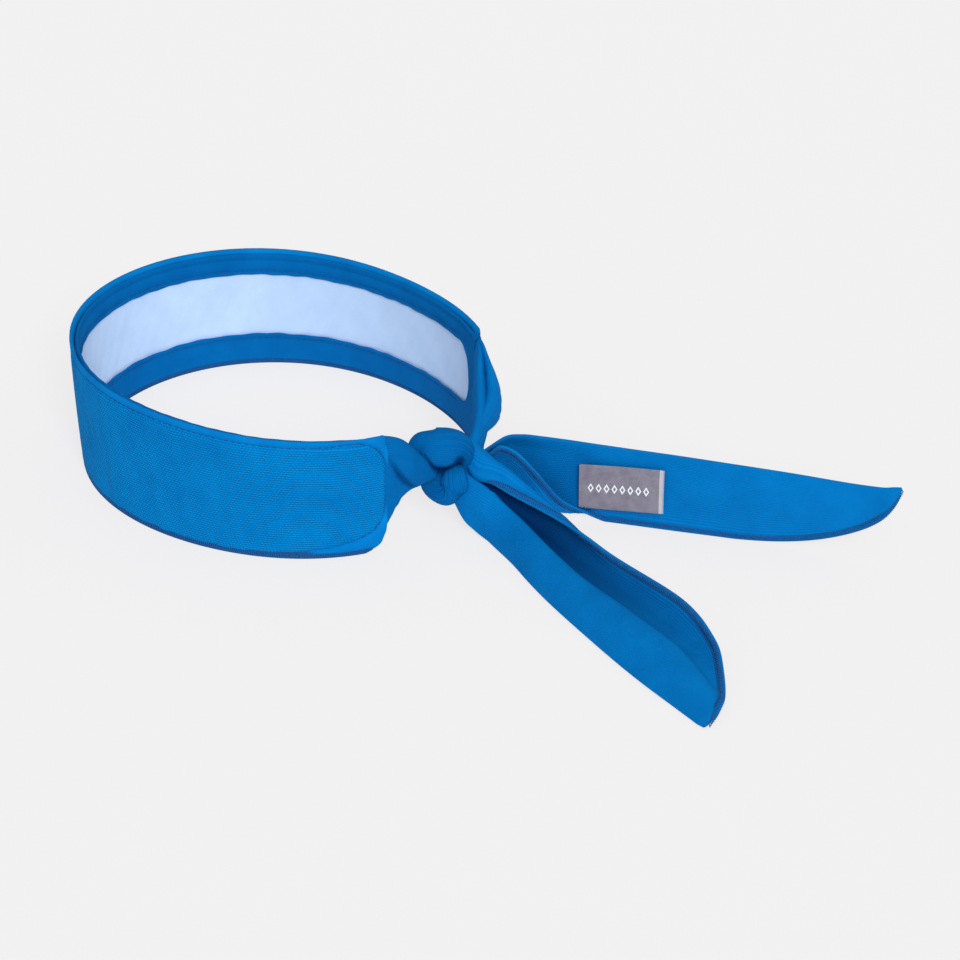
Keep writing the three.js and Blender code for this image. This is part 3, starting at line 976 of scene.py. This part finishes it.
def gathered(name, path, across, halves, depths, pleats, seed, shade=0.0, stations=70, sides=72):
    """A gathered bundle of cloth: an oval section along a path, with pleats that run along it.

    path, across (the section's long direction), halves and depths are given at the same keys. Only
    the outer skin of the wad of cloth is modelled, not what is folded away inside it."""
    keys = np.linspace(0, 1, len(path))
    t = np.linspace(0, 1, stations)
    centre = spline(keys, path, t)
    ahead = unit(np.gradient(centre, axis=0))
    wide = spline(keys, across, t)
    wide = unit(wide - ahead * np.einsum("ij,ij->i", wide, ahead)[:, None])
    deep = np.cross(ahead, wide)
    half, depth, pleating = (spline(keys, row, t)[:, None] for row in (halves, depths, pleats))
    turn = np.linspace(0, 2 * np.pi, sides, endpoint=False)[None, :]
    x = np.cos(turn)
    y = np.sign(np.sin(turn)) * np.abs(np.sin(turn)) ** 0.85
    rng = np.random.default_rng(seed)
    shift = rng.uniform(0, 1, 3)
    drift = 0.12 * np.sin(2 * np.pi * (t[:, None] * 0.8 + shift[0]))
    folds = np.abs(np.sin(np.pi * (2.4 * x + shift[1] + drift))) ** 0.6 - 0.6
    folds = folds + 0.4 * np.sin(2 * np.pi * (2.7 * x - drift + shift[2]))
    swell = 1 + PLEAT_DEPTH * pleating * folds
    rings = (centre[:, None] + wide[:, None] * (half * x)[..., None]
             + deep[:, None] * (depth * y * swell)[..., None])
    bundle = loft(name, rings)
    # Shade painted about the knot's pits, over the even painted shade given as shade
    shade_pits(bundle, shade)
    return bundle


# The near root from under the knit to the knot: at each angle its top and bottom, the height of
# the valley between its upper fold and lower flap, and how far out the fold, flap and back stand.
NEAR_NECK = (
    (-30.0, 56.4, 10.0, 56.0, 0.4, 0.3, -0.5),
    (-22.5, 56.9, 10.5, 53.0, 0.7, 0.6, -0.9),
    (-20.4, 56.4, 11.0, 47.0, 1.5, 1.3, -1.3),
    (-18.6, 55.2, 15.0, 41.5, 2.6, 1.1, -1.7),
    (-16.6, 53.4, 20.5, 35.5, 4.0, 0.9, -2.2),
    (-14.4, 50.5, 24.6, 30.6, 4.8, 1.2, -3.0),
    (-12.0, 45.6, 27.0, 27.4, 4.2, 3.0, -3.6),
    (-9.5, 40.4, 28.0, 27.0, 4.0, 3.8, -4.0),
    (-7.5, 36.8, 28.4, 27.0, 3.6, 3.6, -4.4),
    (-5.8, 35.0, 29.0, 27.0, 2.6, 2.8, -5.0),
    (-4.6, 34.0, 31.0, 27.0, 0.4, 0.4, -5.5),
)


def build_near_root():
    """The near tie where it leaves the knit: a plump upper fold over a flat lower flap."""
    table = np.array(NEAR_NECK)
    angle = np.linspace(table[0, 0], table[-1, 0], 110)
    columns = spline(table[:, 0], table[:, 1:], angle).T
    top, bottom, valley, fold, flap, back = (column[:, None] for column in columns)
    turn = np.linspace(0, 2 * np.pi, 120, endpoint=False)[None, :]
    outside, rise = np.sin(turn), -np.cos(turn)
    rise = np.sign(rise) * np.abs(rise) ** 0.9
    height = (top + bottom) / 2 + (top - bottom) / 2 * rise
    over = smooth(-1.6, 1.6, height - valley)
    plump = np.sqrt(np.clip(np.sin(np.pi * np.clip((height - valley) / (top - valley), 0, 1)), 0, 1))
    front = lerp(flap, lerp(flap, fold, 0.35 + 0.65 * plump), over)
    crease = np.exp(-((height - valley) / 1.5) ** 2) * np.clip((fold - flap) / 2.5, 0, 1)
    middle = (flap + back) / 2
    shaped = np.abs(outside) ** 0.55
    depth = np.where(outside > 0, middle + (front - middle - 1.7 * crease) * shaped,
                     middle + (back - middle) * shaped)
    run = angle[:, None] * MM_PER_DEGREE
    soft = smooth(-21, -17, angle[:, None])
    depth = depth + 0.28 * soft * waviness(height + 0.5 * run, (9.0, 5.3), 61) * (outside > 0)
    root = loft("near_tie_root_cloth", on_head(angle[:, None], height, depth))
    # Painted shade: an even 0.26 over the root, darker along the valley under its upper fold on the outer
    # side, and about the knot's pits
    shade = 0.26 + 0.45 * crease * (outside > 0)
    shade_pits(root, np.concatenate((shade.reshape(-1), (0, 0))))
    dress(root, "tie_cloth", "band", "near_tie_root")


# The far root's two layers, from under the knit to the knot: (angle, height, depth, half height,
# half thickness), the flat size of each and the seed of its pleats. The flat lengths of
# the gathered pieces, here and in the knot, are fitted to the skin's area: they are shorter than
# the tie's way through them.
FAR_ROOT_LAYERS = (
    ("far_tie_root_inner", (0.044, 0.058), 52,
     ((44, 29, -0.2, 27.6, 0.9), (41.8, 29.2, -0.3, 28.2, 1.6), (39, 30, -0.6, 27.4, 2.2),
      (35, 32, -1.3, 23.5, 2.8), (30, 33.5, -2.1, 18.5, 3.2), (24, 34.5, -1.7, 13.5, 3.4),
      (17, 34.5, 0.4, 9, 3.2), (10, 33, 3, 6.5, 3), (6, 31, 4, 6, 3))),
    ("far_tie_root_outer", (0.036, 0.045), 56,
     ((43, 38, 0.2, 19.4, 0.9), (41, 38, 0.3, 19.2, 1.5), (38, 38.6, 0.6, 17.4, 1.9),
      (34, 38.4, 1.4, 14.2, 2.6), (30, 37.4, 2.6, 12, 3.8), (26, 37, 3.2, 9.8, 4),
      (21, 37.2, 3, 7, 3.4), (15, 36.6, 2.2, 4.6, 2.6), (9, 33.5, 2.2, 3.4, 2.2))),
)


def build_far_root():
    """The far tie where it leaves the knit: a flat inner layer and an outer one that bows away."""
    for name, flat, seed, rows in FAR_ROOT_LAYERS:
        table = np.array(rows, float)
        path = np.stack([on_head(*row[:3]) for row in table])
        upright = np.tile((0, 0, 1.0), (len(rows), 1))
        pleats = np.linspace(0, 1, len(rows))
        layer = gathered(name, path, upright, table[:, 3], table[:, 4], pleats, seed)
        dress(layer, "tie_cloth", "band", "far_tie_root")


# The bundles of the knot. At each point of a bundle's path: the point as (rightward, upward,
# toward the viewer) from the knot's middle, how far the bundle's broad side leans rightward
# from upright, its half width, its half depth, and how strongly it is pleated.
TOP_LOBE = (
    ((-14.5, 5.0, 11), -0.4, 3.4, 3.4, 0), ((-10.2, 7.2, 12.5), -0.35, 5.8, 5, 0.1),
    ((-5.7, 6.2, 13), -0.2, 8.2, 6, 0.3), ((-0.7, 6.2, 12.5), 0, 8.3, 6.2, 0.8),
    ((3.5, 6.2, 10.5), 0.2, 7.2, 5.6, 1.3), ((6.4, 4.6, 7.5), 0.5, 5.2, 4.4, 1.5),
    ((7.4, 0.6, 2), 0.9, 3, 3, 1.5),
)
LOWER_LOBE = (
    ((-9, -4.5, -7), -0.6, 5, 4.4, 0.3), ((-6, -9, -3), -0.1, 5.8, 4.8, 0.5),
    ((-1.2, -11.8, 1.5), 0.4, 6.2, 4.8, 0.6), ((2.6, -9.8, 4), 1.4, 6.2, 4.6, 0.7),
    ((2.8, -5, 5), 20, 5, 4, 0.9), ((2.4, -1, 1), 20, 3, 2.5, 0.9),
)
CROSSING = (
    ((-8, -2, -9), 0, 7, 5, 0.5), ((-4, -1, -4), 0, 9, 6, 1), ((1, -0.5, -1), 0, 9.5, 6, 1),
    ((7, 2, -4), 0, 9, 6, 1), ((10, 4, -10), 0, 7, 5, 0.5),
)


def build_knot():
    """The half knot: one lobe over the top, one wrapping underneath, and the crossing inside."""
    # The last value of each bundle is the even shade painted over its cloth, under the painted shade about
    # the pits
    for name, node, stops, flat, seed, shade in (
            ("near_tie_lobe_cloth", "near_tie_lobe", TOP_LOBE, (0.023, 0.038), 53, 0.3),
            ("far_tie_lobe_cloth", "far_tie_lobe", LOWER_LOBE, (0.021, 0.038), 54, 0.3),
            ("tie_crossing_cloth", "tie_crossing", CROSSING, (0.024, 0.038), 55, 0.5)):
        places, leans, halves, depths, pleats = zip(*stops)
        broad_side = unit(UPWARD + np.array(leans, float)[:, None] * RIGHTWARD)
        bundle = gathered(name, at_knot(places), broad_side, halves, depths, pleats, seed, shade)
        dress(bundle, "tie_cloth", "band", node)


# ---------------------------------------------------------------- studio

FLOOR_HALF = 6.0
FLOOR_GLOW = 0.73
SKY_STRENGTH = 0.56
SUN_STRENGTH, SUN_SPREAD = 2.4, 24
SUN_DIRECTION = Vector((-0.63, 0.53, -0.57))
FARTHEST_SEEN = 50


def build_floor():
    """A wide sheet of pale paper that glows a little, so that it stays even."""
    mesh = bpy.data.meshes.new("studio_floor")
    corners = [(x * FLOOR_HALF, y * FLOOR_HALF, 0) for x, y in ((-1, -1), (1, -1), (1, 1), (-1, 1))]
    mesh.from_pydata(corners, [], [(0, 1, 2, 3)])
    floor = place_object("studio_floor", mesh)
    material, tree, shader = nodes_of("studio_paper")
    set_inputs(shader, Base_Color=(0.16, 0.16, 0.16, 1), Roughness=0.9, Specular_IOR_Level=0.0,
               Emission_Color=(1, 0.99, 0.995, 1), Emission_Strength=FLOOR_GLOW)
    mesh.materials.append(material)


def build_lights():
    """An even white sky and one soft sun."""
    world = bpy.data.worlds.new("studio")
    world.use_nodes = True
    set_inputs(world.node_tree.nodes["Background"], Color=(1, 1, 1, 1), Strength=SKY_STRENGTH)
    bpy.context.scene.world = world
    sun = place_object("soft_key", bpy.data.lights.new("soft_key", "SUN"))
    sun.data.energy = SUN_STRENGTH
    sun.data.angle = math.radians(SUN_SPREAD)
    sun.rotation_euler = SUN_DIRECTION.to_track_quat("-Z", "Y").to_euler()


def build_camera():
    """The camera, looking at the band from the knot's side and above."""
    camera = place_object("camera", bpy.data.cameras.new("camera"))
    camera.data.lens = CAMERA_LENS
    camera.data.sensor_width = SENSOR
    camera.location = CAMERA_TARGET + Vector(TOWARD) * CAMERA_DISTANCE
    camera.rotation_euler = (-Vector(TOWARD)).to_track_quat("-Z", "Y").to_euler()
    camera.data.clip_end = FARTHEST_SEEN
    bpy.context.scene.camera = camera
    bpy.context.scene.view_settings.view_transform = "Standard"


build_floor()
build_lights()
build_camera()
build_wall()
build_hem()
build_rim_and_window_stitching()
build_end_seams()
build_near_root()
build_far_root()
build_knot()
build_tail(NEAR_TAIL)
build_tail(FAR_TAIL)
build_label()
build_label_stitching()
